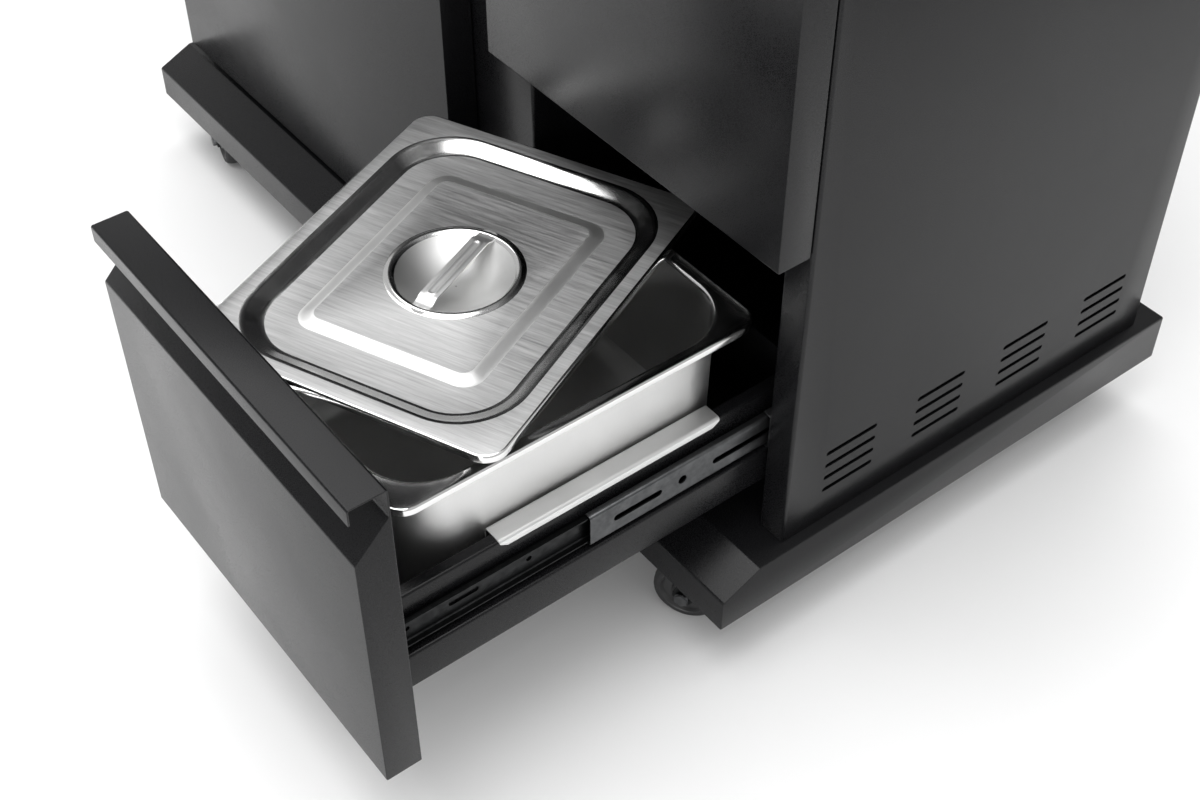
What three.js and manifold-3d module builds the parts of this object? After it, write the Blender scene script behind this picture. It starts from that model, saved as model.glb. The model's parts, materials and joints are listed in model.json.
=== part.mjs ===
// Wheeled outdoor kitchen cabinet with a pulled-out waste drawer.
// Units are millimetres, +X right, +Y into the cabinet, +Z up, castors standing on z = 0.
// The waste drawer is drawn open, with its pan hanging in it and the lid lying askew on the pan.
import * as THREE from 'three';
import { mergeVertices } from 'three/addons/utils/BufferGeometryUtils.js';
import Module from 'manifold-3d';

const wasm = await Module();
wasm.setup();

// ---- driving dimensions -------------------------------------------------
const SHEET = 1.5;              // thickness of every folded steel sheet
const GAP = 0.3;                // air between neighbouring pieces

const PLINTH = { halfWidth: 480, depth: 535, bottom: 62, lip: 33, height: 50, slope: 38 };
const DECK = PLINTH.bottom + PLINTH.height;

const BODY = { halfWidth: 470, front: 70, back: 506, bottom: DECK + GAP, top: 812 };
const STILE = 28;               // visible width of the folded front edge of a side panel
const STILE_RETURN = 20;
const POST = { left: 44, right: 138, depth: 30 };
const BAY = { left: POST.right, right: BODY.halfWidth - STILE, back: 488 };
const BAY_CENTRE = (BAY.left + BAY.right) / 2;
const BAY_HALF = (BAY.right - BAY.left) / 2;

const FRONT = { y: 38, thickness: 30, chamferDrop: 52, wallDrop: 24, lip: 14 };
const FRONT_GAP = 6;            // gap above and below each front
const LOW_Z = DECK + FRONT_GAP;
const FRONT_HEIGHT = 288;
const UPPER_Z = LOW_Z + FRONT_HEIGHT + FRONT_GAP;
const FRONTS_TOP = UPPER_Z + FRONT_HEIGHT;
const DRAWER_FRONT = { left: 124, right: 469 };
const DOOR = { left: -469, right: 56, height: FRONTS_TOP - LOW_Z };
const TOP_RAIL = { bottom: FRONTS_TOP + FRONT_GAP, depth: 60 };
const WORKTOP = { halfWidth: 484, front: 16, back: 522, thickness: 38, flange: 40 };

const SLOT = { length: 55, height: 4.5, pitch: 14, rows: 4, groups: 4, groupPitch: 101 };
const SLOT_START = { y: BODY.front + 40, z: DECK + 36 };

const BOX = { length: 398, rise: 43, bandHeight: 36, bandReach: 150.2, lowSide: 87, highSide: 190 };
const BOX_FLANGE = 10;
const SLIDE = { thickness: 12.4, height: 35, length: 400, wall: 1.2 };
const BOX_REACH = BAY_HALF - SLIDE.thickness - 2 * GAP;

const WASTE_TRAVEL = 346;       // how far the waste drawer stands open

const PAN = { width: 265, length: 325, depth: 150, rimCorner: 18, rimWidth: 12, wallCorner: 48, edge: 6 };
const PAN_RIM_Z = PLINTH.bottom + 258;
const PAN_FRONT_GAP = 26;
const HANGER = { length: 205, start: 76, lip: 7, tab: 12 };

const LID = { width: 265, length: 325, corner: 18, angle: 24, dish: 7, skirt: 5 };
const LID_FIELD = { inset: 21.5, corner: 46 };      // the sunk middle, measured to half way down its slope
const LID_CORNER_X = 187;       // where the lid's front left corner would be, were it sharp
const PRESSED = 1.2;            // sheet thickness of the pan and its lid
const BOWL = { radius: 52, depth: 13 };
const STRAP = { length: 112, width: 15, rise: 5 };

const CASTOR = { x: 430, front: 40, back: 468, trail: 26, wheelRadius: 30, wheelWidth: 22 };
const CASTOR_PLATE = { width: 72, length: 58, thickness: 2.5, top: 86 };
const CASTOR_HEAD = { radius: 21, height: 8 };
const FORK = { inside: 25, wall: 2.5, crownRadius: 19, crownHeight: 5 };
const AXLE = { radius: 4, length: 34, play: 0.4 };
const RAIL = { halfWidth: 42, wall: 2 };
const CASTOR_TURNS = { front_right: -60, front_left: 75, rear_right: 200, rear_left: 165 };

const HINGE = { x: DOOR.left + 6, y: 58, pinRadius: 2.2, plate: 3, arm: 20, pinLength: 12 };

// ---- materials ------------------------------------------------------------
function makeMaterial(color, roughness, metalness) {
  return () => new THREE.MeshStandardMaterial({ color, roughness, metalness });
}
const coated = makeMaterial(0x1b1c1e, 0.45, 0.3);
const stainless = makeMaterial(0xc9c9c6, 0.28, 1.0);
const zinc = makeMaterial(0x8b8d8f, 0.4, 1.0);
const darkZinc = makeMaterial(0x2b2c2e, 0.45, 0.8);
const rubber = makeMaterial(0x141415, 0.7, 0.0);

// ---- geometry helpers -----------------------------------------------------
// The same surface with its shared corners merged into an index.
function indexed(geometry) {
  const bare = geometry.clone();
  bare.deleteAttribute('normal');
  bare.deleteAttribute('uv');
  return mergeVertices(bare, 1e-4);
}

function toManifold(geometry) {
  const merged = indexed(geometry);
  const mesh = new wasm.Mesh({
    numProp: 3,
    vertProperties: new Float32Array(merged.attributes.position.array),
    triVerts: new Uint32Array(merged.index.array),
  });
  return new wasm.Manifold(mesh);
}

function fromManifold(manifold) {
  const mesh = manifold.getMesh();
  const geometry = new THREE.BufferGeometry();
  geometry.setAttribute('position', new THREE.BufferAttribute(new Float32Array(mesh.vertProperties), 3));
  geometry.setIndex(new THREE.BufferAttribute(new Uint32Array(mesh.triVerts), 1));
  geometry.computeVertexNormals();
  return geometry;
}

function join(...geometries) {
  const solids = geometries.map(toManifold);
  return fromManifold(solids.reduce((sum, solid) => sum.add(solid)));
}

function cut(geometry, ...tools) {
  const solids = tools.map(toManifold);
  return fromManifold(solids.reduce((rest, tool) => rest.subtract(tool), toManifold(geometry)));
}

function box(x0, x1, y0, y1, z0, z1) {
  const geometry = new THREE.BoxGeometry(x1 - x0, y1 - y0, z1 - z0);
  return geometry.translate((x0 + x1) / 2, (y0 + y1) / 2, (z0 + z1) / 2);
}

function outline(points) {
  return new THREE.Shape(points.map(([a, b]) => new THREE.Vector2(a, b)));
}

function extrude(shape, depth, curveSegments = 8) {
  return new THREE.ExtrudeGeometry(shape, { depth, bevelEnabled: false, curveSegments });
}

// Stands an extrusion of a shape drawn in (y, z) along X, starting at x0.
function standAlongX(geometry, x0) {
  const turn = new THREE.Matrix4().set(0, 0, 1, x0, 1, 0, 0, 0, 0, 1, 0, 0, 0, 0, 0, 1);
  return geometry.applyMatrix4(turn);
}

// Points are (y, z); the section runs along X.
function alongX(points, x0, x1) {
  return standAlongX(extrude(outline(points), x1 - x0), x0);
}

// Points are (x, z); the section runs along Y.
function alongY(points, y0, y1) {
  const turn = new THREE.Matrix4().set(0, 1, 0, 0, 0, 0, 1, y0, 1, 0, 0, 0, 0, 0, 0, 1);
  return extrude(outline(points.map(([x, z]) => [z, x])), y1 - y0).applyMatrix4(turn);
}

// Mirror image across X = 0. The corner order is swapped so that the faces still point out.
function mirrorX(geometry) {
  const mirrored = indexed(geometry).scale(-1, 1, 1);
  const order = mirrored.index.array;
  for (let i = 0; i < order.length; i += 3) {
    [order[i], order[i + 1]] = [order[i + 1], order[i]];
  }
  mirrored.computeVertexNormals();
  return mirrored;
}

// Points are (x, y); the section runs up Z.
function alongZ(points, z0, z1) {
  return extrude(outline(points), z1 - z0).translate(0, 0, z0);
}

// Outline of a folded sheet: the path on one side, and the same path moved left by the thickness.
function folded(path, thickness) {
  const last = path.length - 1;
  const offset = path.map((point, i) => {
    const before = direction(path[Math.max(i - 1, 0)], path[Math.max(i, 1)]);
    const after = direction(path[Math.min(i, last - 1)], path[Math.min(i + 1, last)]);
    const bend = 1 + before[0] * after[0] + before[1] * after[1];
    const nx = -(before[1] + after[1]) / bend;
    const ny = (before[0] + after[0]) / bend;
    return [point[0] + nx * thickness, point[1] + ny * thickness];
  });
  return [...path, ...offset.reverse()];
}

function direction(from, to) {
  const length = Math.hypot(to[0] - from[0], to[1] - from[1]);
  return [(to[0] - from[0]) / length, (to[1] - from[1]) / length];
}

function roundedRect(width, length, corner) {
  const w = width / 2;
  const l = length / 2;
  const shape = new THREE.Shape();
  shape.moveTo(w, l - corner);
  shape.absarc(w - corner, l - corner, corner, 0, Math.PI / 2, false);
  shape.absarc(corner - w, l - corner, corner, Math.PI / 2, Math.PI, false);
  shape.absarc(corner - w, corner - l, corner, Math.PI, 1.5 * Math.PI, false);
  shape.absarc(w - corner, corner - l, corner, 1.5 * Math.PI, 2 * Math.PI, false);
  return shape;
}

function roundedSlab(width, length, corner, z0, z1) {
  return extrude(roundedRect(width, length, corner), z1 - z0, 5).translate(0, 0, z0);
}

function disc(radius, z0, z1, segments = 24) {
  const geometry = new THREE.CylinderGeometry(radius, radius, z1 - z0, segments);
  return geometry.rotateX(Math.PI / 2).translate(0, 0, (z0 + z1) / 2);
}

// ---- the assembly -----------------------------------------------------------
const cabinet = new THREE.Group();

function add(name, geometry, material, parent = cabinet) {
  const mesh = new THREE.Mesh(geometry, material());
  mesh.name = name;
  parent.add(mesh);
  return mesh;
}

// ---- plinth and castors -----------------------------------------------------
function plinthTray() {
  const { halfWidth, depth, bottom, lip, slope } = PLINTH;
  const outside = [[0, bottom], [depth, bottom], [depth, DECK], [slope, DECK], [0, bottom + lip]];
  const fall = slopeFall();
  const inside = [
    [SHEET, bottom - 1], [depth - SHEET, bottom - 1], [depth - SHEET, DECK - SHEET],
    [slope, DECK - SHEET], [SHEET, bottom + lip - fall],
  ];
  const tray = alongX(outside, -halfWidth, halfWidth);
  return cut(tray, alongX(inside, SHEET - halfWidth, halfWidth - SHEET));
}

// Vertical thickness of the sheet on the sloping run behind the lip.
function slopeFall() {
  const { bottom, lip, slope } = PLINTH;
  return SHEET * Math.hypot(slope, DECK - bottom - lip) / slope;
}

// Hat channel under the deck; its front end is trimmed to the slope.
function castorRail() {
  const top = DECK - SHEET - GAP;
  const bottom = CASTOR_PLATE.top + GAP;
  const { halfWidth, wall } = RAIL;
  const path = [[-halfWidth, top], [-halfWidth, bottom], [halfWidth, bottom], [halfWidth, top]];
  const rail = alongY(folded(path, wall), 8, PLINTH.depth - 8);
  const lipInside = PLINTH.bottom + PLINTH.lip - slopeFall() - 2 * GAP;
  const trim = [[0, lipInside], [PLINTH.slope + 1, top], [PLINTH.slope + 1, top + 5], [0, top + 5]];
  return cut(rail, alongX(trim, -halfWidth - 1, halfWidth + 1));
}

function castorPlate() {
  const { width, length, thickness, top } = CASTOR_PLATE;
  const plate = roundedSlab(width, length, 8, top - thickness, top);
  const head = disc(CASTOR_HEAD.radius, top - thickness - CASTOR_HEAD.height, top - thickness + 0.5);
  return join(plate, head);
}

function castorFork() {
  const top = CASTOR_PLATE.top - CASTOR_PLATE.thickness - CASTOR_HEAD.height - GAP;
  const { wheelRadius, trail } = CASTOR;
  const { inside, wall, crownRadius, crownHeight } = FORK;
  const outside = inside / 2 + wall;
  const crown = disc(crownRadius, top - crownHeight, top);
  const bridge = box(-outside, outside, -crownRadius + 4, crownRadius - 4, top - crownHeight, top);
  const leg = new THREE.Shape();
  leg.moveTo(crownRadius - 4, top);
  leg.lineTo(-crownRadius, top);
  leg.lineTo(-trail - 9, wheelRadius + 4);
  leg.absarc(-trail, wheelRadius, 9, Math.PI, 1.85 * Math.PI, false);
  leg.lineTo(crownRadius - 4, top - 8);
  const left = standAlongX(extrude(leg, wall), -outside);
  const right = left.clone().translate(outside * 2 - wall, 0, 0);
  const bore = axleBar(AXLE.radius + AXLE.play, outside * 2 + 4);
  return cut(join(crown, bridge, left, right), bore);
}

function axleBar(radius, length) {
  const bar = new THREE.CylinderGeometry(radius, radius, length, 20);
  return bar.rotateZ(Math.PI / 2).translate(0, -CASTOR.trail, CASTOR.wheelRadius);
}

function castorAxle() {
  const outside = FORK.inside / 2 + FORK.wall + GAP;
  const head = new THREE.CylinderGeometry(7, 7, 4, 6);
  head.rotateZ(Math.PI / 2).translate(0, -CASTOR.trail, CASTOR.wheelRadius);
  const left = head.clone().translate(-outside - 2, 0, 0);
  const right = head.clone().translate(outside + 2, 0, 0);
  return join(axleBar(AXLE.radius, AXLE.length), left, right);
}

function castorWheel() {
  const { wheelRadius: r, wheelWidth: w } = CASTOR;
  const bore = AXLE.radius + AXLE.play;
  const half = [
    [bore, w / 2], [11, w / 2], [12, w / 2 - 3], [r - 9, w / 2 - 3], [r - 4, w / 2], [r, w / 2 - 4],
  ];
  const otherHalf = half.map(([a, b]) => [a, -b]);
  const profile = [...otherHalf, ...half.reverse(), otherHalf[0]];
  const wheel = new THREE.LatheGeometry(profile.map(([a, b]) => new THREE.Vector2(a, b)), 28);
  return wheel.rotateZ(Math.PI / 2);
}

function addCastor(place, x, y) {
  const castor = new THREE.Group();
  castor.position.set(x, y, 0);
  cabinet.add(castor);
  add(`castor_plate_${place}`, castorPlate(), zinc, castor);
  const swivel = new THREE.Group();
  swivel.rotation.z = THREE.MathUtils.degToRad(CASTOR_TURNS[place]);
  castor.add(swivel);
  add(`castor_fork_${place}`, castorFork(), darkZinc, swivel);
  add(`castor_axle_${place}`, castorAxle(), zinc, swivel);
  const wheel = add(`castor_wheel_${place}`, castorWheel(), rubber, swivel);
  wheel.position.set(0, -CASTOR.trail, CASTOR.wheelRadius);
}

// ---- carcass ------------------------------------------------------------------
function ventSlots() {
  const slots = [];
  const radius = SLOT.height / 2;
  for (let group = 0; group < SLOT.groups; group += 1) {
    for (let row = 0; row < SLOT.rows; row += 1) {
      const start = SLOT_START.y + group * SLOT.groupPitch;
      const z = SLOT_START.z + row * SLOT.pitch;
      const shape = new THREE.Shape();
      shape.absarc(start + radius, z, radius, Math.PI / 2, 1.5 * Math.PI, false);
      shape.absarc(start + SLOT.length - radius, z, radius, 1.5 * Math.PI, 2.5 * Math.PI, false);
      slots.push(standAlongX(extrude(shape, 8, 3), BODY.halfWidth - 4));
    }
  }
  return slots;
}

function sidePanelRight() {
  const { halfWidth, front, back } = BODY;
  const path = [
    [BAY.right, front + STILE_RETURN], [BAY.right, front], [halfWidth, front],
    [halfWidth, back], [halfWidth - 18, back],
  ];
  return cut(alongZ(folded(path, SHEET), BODY.bottom, BODY.top), ...ventSlots());
}

function centrePost() {
  const { left, right, depth } = POST;
  const { front } = BODY;
  const path = [[left, front + depth], [left, front], [right, front], [right, front + depth]];
  return alongZ(folded(path, SHEET), BODY.bottom, BODY.top);
}

function topRail() {
  const { bottom, depth } = TOP_RAIL;
  const back = FRONT.y + depth;
  const path = [
    [back, bottom + 12], [back, bottom], [FRONT.y, bottom], [FRONT.y, BODY.top], [back, BODY.top],
  ];
  const rail = alongX(folded(path.reverse(), SHEET), DOOR.left, -DOOR.left);
  const half = BODY.halfWidth;
  return cut(rail, box(-half, half, BODY.front - GAP, back + 1, bottom - 1, BODY.top + 1));
}

// Folded sheet worktop: hollow, with a flange turned in round its underside.
function worktop() {
  const { halfWidth, front, back, thickness, flange } = WORKTOP;
  const bottom = BODY.top + GAP;
  const inset = (by, z0, z1) => box(by - halfWidth, halfWidth - by, front + by, back - by, z0, z1);
  const slab = inset(0, bottom, bottom + thickness);
  const hollow = inset(SHEET, bottom + SHEET, bottom + thickness - SHEET);
  return cut(slab, hollow, inset(flange, bottom - 1, bottom + SHEET + 1));
}

function backPanel() {
  const y = BODY.back - SHEET - GAP;
  const half = BODY.halfWidth - SHEET - GAP;
  return box(-half, half, y - SHEET, y, BODY.bottom + GAP, BODY.top - 2);
}

function bayWall(x) {
  return box(x, x + SHEET, BODY.front + POST.depth + GAP, BAY.back, BODY.bottom, BODY.top);
}

function dividerRail() {
  const z = UPPER_Z + 6;
  const y = BODY.front + STILE_RETURN + 12;
  const path = [[y + 18, z], [y, z], [y, z + 16], [y + 18, z + 16]];
  return alongX(folded(path.reverse(), SHEET), BAY.left + GAP, BAY.right - GAP);
}

// ---- fronts -------------------------------------------------------------------
// One folded sheet: face, ends and bottom, a slope back to the rear wall above the face,
// and a handle plate that comes forward again over it and ends in a lip.
function frontSkin(left, right, y, z, height) {
  const t = SHEET;
  const { thickness: d, chamferDrop, wallDrop, lip } = FRONT;
  const chamfer = height - chamferDrop;
  const wall = height - wallDrop;
  const place = (points) => points.map(([a, b]) => [y + a, z + b]);
  const outside = place([
    [0, 0], [d, 0], [d, height], [0, height], [0, height - lip], [t, height - lip],
    [t, height - t], [d - t, height - t], [d - t, wall], [0, chamfer],
  ]);
  const rise = (wall - chamfer) / (d - t);
  const inside = place([
    [t, t], [d + 1, t], [d + 1, wall - 3], [d - t - 2, wall - 3], [t, chamfer + rise * t - 2],
  ]);
  return cut(alongX(outside, left, right), alongX(inside, left + t, right - t));
}

// Flat inner sheet that closes the back of a front below its handle fold.
function frontLiner(left, right, y, z, height) {
  const back = y + FRONT.thickness - GAP;
  const edge = SHEET + GAP;
  const top = z + height - FRONT.wallDrop - 3 - GAP;
  return box(left + edge, right - edge, back - SHEET, back, z + edge, top);
}

// ---- drawers ------------------------------------------------------------------
function drawerBox(z, height) {
  const band = z + BOX.bandHeight;
  const top = z + height;
  const out = BOX.bandReach;
  const side = BOX_REACH;
  const rightHalf = [[out, z], [out, band], [side, band], [side, top], [side - BOX_FLANGE, top]];
  const leftHalf = rightHalf.map(([x, level]) => [-x, level]).reverse();
  return alongY(folded([...leftHalf, ...rightHalf], SHEET), GAP, BOX.length);
}

function drawerBack(z, height) {
  return box(-BOX_REACH, BOX_REACH, BOX.length + GAP, BOX.length + GAP + SHEET, z, z + height - 4);
}

// Slide members nest inside each other; x is the distance from the cabinet wall towards the drawer.
function slideMember(web, reach, halfHeight) {
  const w = SLIDE.wall;
  const towardDrawer = reach > web;
  const path = [[reach, halfHeight], [web, halfHeight], [web, -halfHeight], [reach, -halfHeight]];
  const section = folded(towardDrawer ? path : path.reverse(), w);
  return alongY(section.map(([x, z]) => [-x, z]), 0, SLIDE.length);
}

const SLIDE_MEMBERS = {
  outer: () => slideMember(0, 8.6, SLIDE.height / 2),
  mid: () => slideMember(3.4, 9.6, SLIDE.height / 2 - 2.2),
  inner: () => slideMember(SLIDE.thickness, 6, SLIDE.height / 2 - 4.4),
};

function addSlides(prefix, z, travel) {
  const shift = { outer: 0, mid: travel / 2, inner: travel };
  const middle = z + BOX.bandHeight + 0.7 + SLIDE.height / 2;
  for (const [member, build] of Object.entries(SLIDE_MEMBERS)) {
    const material = member === 'inner' ? darkZinc : zinc;
    const right = add(`${prefix}_slide_${member}_right`, build(), material);
    right.position.set(BAY.right, BODY.front + 2 - shift[member], middle);
    const left = add(`${prefix}_slide_${member}_left`, mirrorX(build()), material);
    left.position.set(BAY.left, BODY.front + 2 - shift[member], middle);
  }
}

function addDrawer(prefix, frontZ, sideHeight, travel) {
  const { left, right } = DRAWER_FRONT;
  const y = FRONT.y - travel;
  const z = frontZ + BOX.rise;
  add(`${prefix}_front`, frontSkin(left, right, y, frontZ, FRONT_HEIGHT), coated);
  add(`${prefix}_front_liner`, frontLiner(left, right, y, frontZ, FRONT_HEIGHT), coated);
  const tray = add(`${prefix}_box`, drawerBox(z, sideHeight), coated);
  tray.position.set(BAY_CENTRE, y + FRONT.thickness, 0);
  const back = add(`${prefix}_box_back`, drawerBack(z, sideHeight), coated);
  back.position.copy(tray.position);
  addSlides(prefix, z, travel);
}

// ---- door -----------------------------------------------------------------------
// A flat arm bolted through the folded front edge of the side panel, with the pin standing on it.
function hingeBracket(z, pinUp) {
  const { x, y, pinRadius, plate, arm, pinLength } = HINGE;
  const leaf = box(x - 4, x + arm, y - 4, BODY.front - GAP, z, z + plate);
  const pin = disc(pinRadius, pinUp ? z : z + plate - pinLength, pinUp ? z + pinLength : z + plate, 16);
  return join(leaf, pin.translate(x, y, 0));
}

// ---- pan and lid ------------------------------------------------------------------
function pan() {
  const { width, length, depth, rimCorner, rimWidth, wallCorner, edge } = PAN;
  const t = PRESSED;
  const inW = width - 2 * rimWidth;
  const inL = length - 2 * rimWidth;
  const rim = roundedSlab(width, length, rimCorner, -edge, 0);
  const underRim = roundedSlab(width - 2 * t, length - 2 * t, rimCorner - t, -edge - 1, -t);
  const body = roundedSlab(inW + 2 * t, inL + 2 * t, wallCorner + t, -depth, 0);
  const hollow = roundedSlab(inW, inL, wallCorner, t - depth, 1);
  return cut(join(cut(rim, underRim), body), hollow);
}

function panHanger() {
  const wall = PAN.width / 2 - PAN.rimWidth + PRESSED + GAP;
  const outer = BOX_REACH + GAP + SHEET;
  const path = [[outer, -HANGER.lip], [outer, 0], [wall, 0], [wall, -HANGER.tab]];
  return alongY(folded(path, SHEET), HANGER.start, HANGER.start + HANGER.length);
}

function lid() {
  const { width, length, corner, dish, skirt } = LID;
  const t = PRESSED;
  const plate = roundedSlab(width, length, corner, dish - skirt, dish + t);
  const under = roundedSlab(width - 2 * t, length - 2 * t, corner - t, dish - skirt - 1, dish);
  const fieldW = width - 2 * LID_FIELD.inset;
  const fieldL = length - 2 * LID_FIELD.inset;
  const tub = roundedSlab(fieldW + 2 * t, fieldL + 2 * t, LID_FIELD.corner + t, 0, dish + t / 2);
  const hollow = roundedSlab(fieldW, fieldL, LID_FIELD.corner, t, dish + t + 1);
  const bowlOut = bowlCap(BOWL.radius + 2, BOWL.depth + t, t / 2);
  const bowlIn = bowlCap(BOWL.radius, BOWL.depth, t + 0.5);
  return cut(join(cut(join(cut(plate, under), tub), hollow), bowlOut), bowlIn);
}

// Dished disc: a shallow bowl whose flat top is at the given height.
function bowlCap(radius, depth, top) {
  const steps = 5;
  const points = [new THREE.Vector2(0, top)];
  for (let i = 0; i <= steps; i += 1) {
    const r = radius * (1 - i / steps);
    points.push(new THREE.Vector2(r, 0.6 - depth * (1 - (r / radius) ** 2)));
  }
  points.splice(1, 0, new THREE.Vector2(radius, top));
  points[points.length - 1].x = 0;
  return new THREE.LatheGeometry(points.reverse(), 28).rotateX(Math.PI / 2);
}

function lidStrap() {
  const half = STRAP.length / 2;
  const foot = half - 12;
  const knee = foot - 8;
  const path = [
    [-half, 0], [-foot, 0], [-knee, STRAP.rise], [knee, STRAP.rise], [foot, 0], [half, 0],
  ];
  return alongX(folded(path, SHEET), -STRAP.width / 2, STRAP.width / 2);
}

function addPan() {
  const frontInside = FRONT.y - WASTE_TRAVEL + FRONT.thickness;
  const panY = frontInside + PAN_FRONT_GAP;
  const centreY = panY + PAN.length / 2;
  add('pan', pan(), stainless).position.set(BAY_CENTRE, centreY, PAN_RIM_Z);
  const plateZ = LOW_Z + BOX.rise + BOX.lowSide + GAP + SHEET;
  const right = add('pan_hanger_right', panHanger(), stainless);
  right.position.set(BAY_CENTRE, panY, plateZ);
  const left = add('pan_hanger_left', mirrorX(panHanger()), stainless);
  left.position.set(BAY_CENTRE, panY, plateZ);

  const lidGroup = new THREE.Group();
  const angle = THREE.MathUtils.degToRad(LID.angle);
  const inset = LID.corner * (Math.sin(angle) + Math.cos(angle) - 1);
  const corner = new THREE.Vector2(LID_CORNER_X, frontInside + 1 - inset);
  const toCentre = new THREE.Vector2(LID.width / 2, LID.length / 2).rotateAround(new THREE.Vector2(), angle);
  lidGroup.position.set(corner.x + toCentre.x, corner.y + toCentre.y, PAN_RIM_Z + 2 * GAP);
  lidGroup.rotation.z = angle;
  cabinet.add(lidGroup);
  add('lid', lid(), stainless, lidGroup);
  add('lid_strap', lidStrap(), stainless, lidGroup).position.z = PRESSED + GAP;
}

// ---- build everything ---------------------------------------------------------
add('plinth_tray', plinthTray(), coated);
for (const [side, sign] of [['right', 1], ['left', -1]]) {
  add(`castor_rail_${side}`, castorRail(), zinc).position.x = sign * CASTOR.x;
  addCastor(`front_${side}`, sign * CASTOR.x, CASTOR.front);
  addCastor(`rear_${side}`, sign * CASTOR.x, CASTOR.back);
}

add('side_panel_right', sidePanelRight(), coated);
add('side_panel_left', mirrorX(sidePanelRight()), coated);
add('back_panel', backPanel(), coated);
add('centre_post', centrePost(), coated);
add('bay_wall_left', bayWall(BAY.left - GAP - SHEET), coated);
add('bay_wall_right', bayWall(BAY.right + GAP), coated);
add('divider_rail', dividerRail(), coated);
add('top_rail', topRail(), coated);
add('worktop', worktop(), stainless);

const pinBore = disc(HINGE.pinRadius + GAP, LOW_Z - 2, LOW_Z + 20, 16).translate(HINGE.x, HINGE.y, 0);
const topBore = pinBore.clone().translate(0, 0, DOOR.height - 15);
const doorSkin = frontSkin(DOOR.left, DOOR.right, FRONT.y, LOW_Z, DOOR.height);
add('door_skin', cut(doorSkin, pinBore, topBore), coated);
add('door_liner', frontLiner(DOOR.left, DOOR.right, FRONT.y, LOW_Z, DOOR.height), coated);

add('hinge_bracket_lower', hingeBracket(LOW_Z - 4, true), zinc);
add('hinge_bracket_upper', hingeBracket(FRONTS_TOP + 1, false), zinc);

addDrawer('upper', UPPER_Z, BOX.highSide, 0);
addDrawer('waste', LOW_Z, BOX.lowSide, WASTE_TRAVEL);
addPan();

// The origin is under the middle of the whole object, drawer included.
cabinet.position.y = (WASTE_TRAVEL - FRONT.y - PLINTH.depth) / 2;

export default cabinet;
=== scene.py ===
"""Looks of a wheeled outdoor kitchen cabinet whose waste drawer stands open, with a lidded steel pan in it.

Most pieces are built in mesh code in the place of a CAD node, which its box gives; rails, brackets and the
castors' metal parts refine the node's own shape. Finishes are procedural materials. Lengths are
millimetres until a mesh is made, and metres in the floor, light and camera section.
"""

import json
import math

import bmesh
import bpy
from mathutils import Matrix, Vector

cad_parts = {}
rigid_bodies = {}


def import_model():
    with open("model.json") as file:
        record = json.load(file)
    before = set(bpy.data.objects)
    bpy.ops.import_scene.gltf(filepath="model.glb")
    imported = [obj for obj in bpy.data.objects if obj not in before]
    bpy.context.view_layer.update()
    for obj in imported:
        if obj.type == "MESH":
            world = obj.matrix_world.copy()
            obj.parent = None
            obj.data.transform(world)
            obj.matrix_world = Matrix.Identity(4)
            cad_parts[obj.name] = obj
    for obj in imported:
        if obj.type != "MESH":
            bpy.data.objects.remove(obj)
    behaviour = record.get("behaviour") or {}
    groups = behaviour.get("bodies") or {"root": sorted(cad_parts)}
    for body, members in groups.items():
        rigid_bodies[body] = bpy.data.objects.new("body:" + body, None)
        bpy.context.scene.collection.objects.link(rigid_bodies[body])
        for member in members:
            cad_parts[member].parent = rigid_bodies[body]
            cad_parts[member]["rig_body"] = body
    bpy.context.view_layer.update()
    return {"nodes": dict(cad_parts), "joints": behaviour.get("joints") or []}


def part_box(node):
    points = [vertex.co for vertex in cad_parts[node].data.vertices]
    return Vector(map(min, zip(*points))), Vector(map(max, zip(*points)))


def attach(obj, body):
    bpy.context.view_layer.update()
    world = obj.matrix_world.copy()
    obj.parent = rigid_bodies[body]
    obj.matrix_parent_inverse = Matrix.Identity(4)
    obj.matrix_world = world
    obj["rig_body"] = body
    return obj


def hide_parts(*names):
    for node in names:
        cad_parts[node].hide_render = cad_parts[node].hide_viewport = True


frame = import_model()

MM = 0.001
SHEET = 1.5                # folded sheet of the cabinet
PRESSED = 1.2              # pressed sheet of the pan and its lid
BEND = 1.6                 # inside radius of a fold
EDGE = 0.4                 # rounding of a cut edge
SHARP = 38                 # edges steeper than this, in degrees, are shaded sharp
CUTTER_EDGE = 0.01         # bodies that only cut keep practically sharp ends
CUTTER_REACH = 5.0         # how far they pass the sheet they cut

NODES = frame["nodes"]
JOINTS = {joint["name"]: joint for joint in frame["joints"]}


# ---- materials -----------------------------------------------------------------
NOISE_LOW, NOISE_HIGH = 0.3, 0.7         # most of a noise texture's values lie between these


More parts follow.
